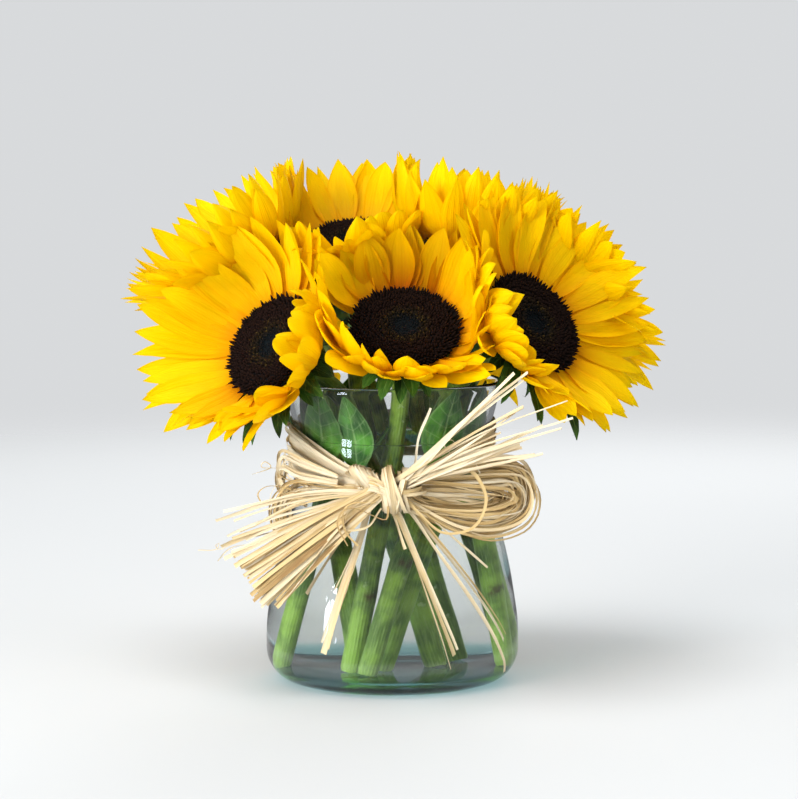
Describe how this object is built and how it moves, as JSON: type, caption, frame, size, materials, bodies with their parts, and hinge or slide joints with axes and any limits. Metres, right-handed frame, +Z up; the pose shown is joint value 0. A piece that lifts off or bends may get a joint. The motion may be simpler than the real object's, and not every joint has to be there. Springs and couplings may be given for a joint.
{
  "type": "sunflowers in a glass vase",
  "caption": "A full dome of cut sunflowers standing in a clear glass vase of water, with a raffia bow tied round the neck of the vase.",
  "frame": {"origin": "centre of the vase's flat foot, on the surface that it stands on", "axes": "+Z up along the vase's axis, -Y towards the front, where the bow is, +X to the right seen from the front"},
  "size_m": [0.3155, 0.2644, 0.3021],
  "materials": {
    "glass": "clear blown glass, faintly grey-blue, polished; thick floor",
    "water": "still clear water",
    "stem": "fresh green stalk with fine pale hairs, pale where it is cut",
    "calyx": "dark green, hairy pointed bracts",
    "leaf": "dark green leaf with paler veins",
    "disc": "near-black brown florets, matt and velvety",
    "petal": "warm yellow ray petals with fine ribs, orange at the base, satin",
    "raffia": "dried straw-coloured leaf fibre, matt"
  },
  "bodies": {
    "root": {"vase": "glass", "water": "water", "stem_1": "stem", "calyx_1": "calyx", "petals_1": "petal", "disc_1": "disc", "stem_2": "stem", "calyx_2": "calyx", "petals_2": "petal", "disc_2": "disc", "stem_3": "stem", "calyx_3": "calyx", "petals_3": "petal", "disc_3": "disc", "stem_4": "stem", "calyx_4": "calyx", "petals_4": "petal", "disc_4": "disc", "stem_5": "stem", "calyx_5": "calyx", "petals_5": "petal", "disc_5": "disc", "stem_6": "stem", "calyx_6": "calyx", "petals_6": "petal", "disc_6": "disc", "stem_7": "stem", "calyx_7": "calyx", "petals_7": "petal", "disc_7": "disc", "stem_8": "stem", "calyx_8": "calyx", "petals_8": "petal", "disc_8": "disc", "stem_9": "stem", "calyx_9": "calyx", "petals_9": "petal", "disc_9": "disc", "leaf_1": "leaf", "leaf_2": "leaf", "leaf_3": "leaf", "leaf_4": "leaf", "leaf_5": "leaf", "leaf_6": "leaf", "leaf_7": "leaf", "leaf_8": "leaf", "raffia_band": "raffia", "raffia_knot": "raffia", "raffia_loop_right": "raffia", "raffia_loop_left": "raffia", "raffia_tails_left": "raffia", "raffia_tails_right": "raffia", "raffia_strand_left_1": "raffia", "raffia_strand_left_2": "raffia", "raffia_strand_right_1": "raffia", "raffia_strand_right_2": "raffia"}
  },
  "joints": []
}
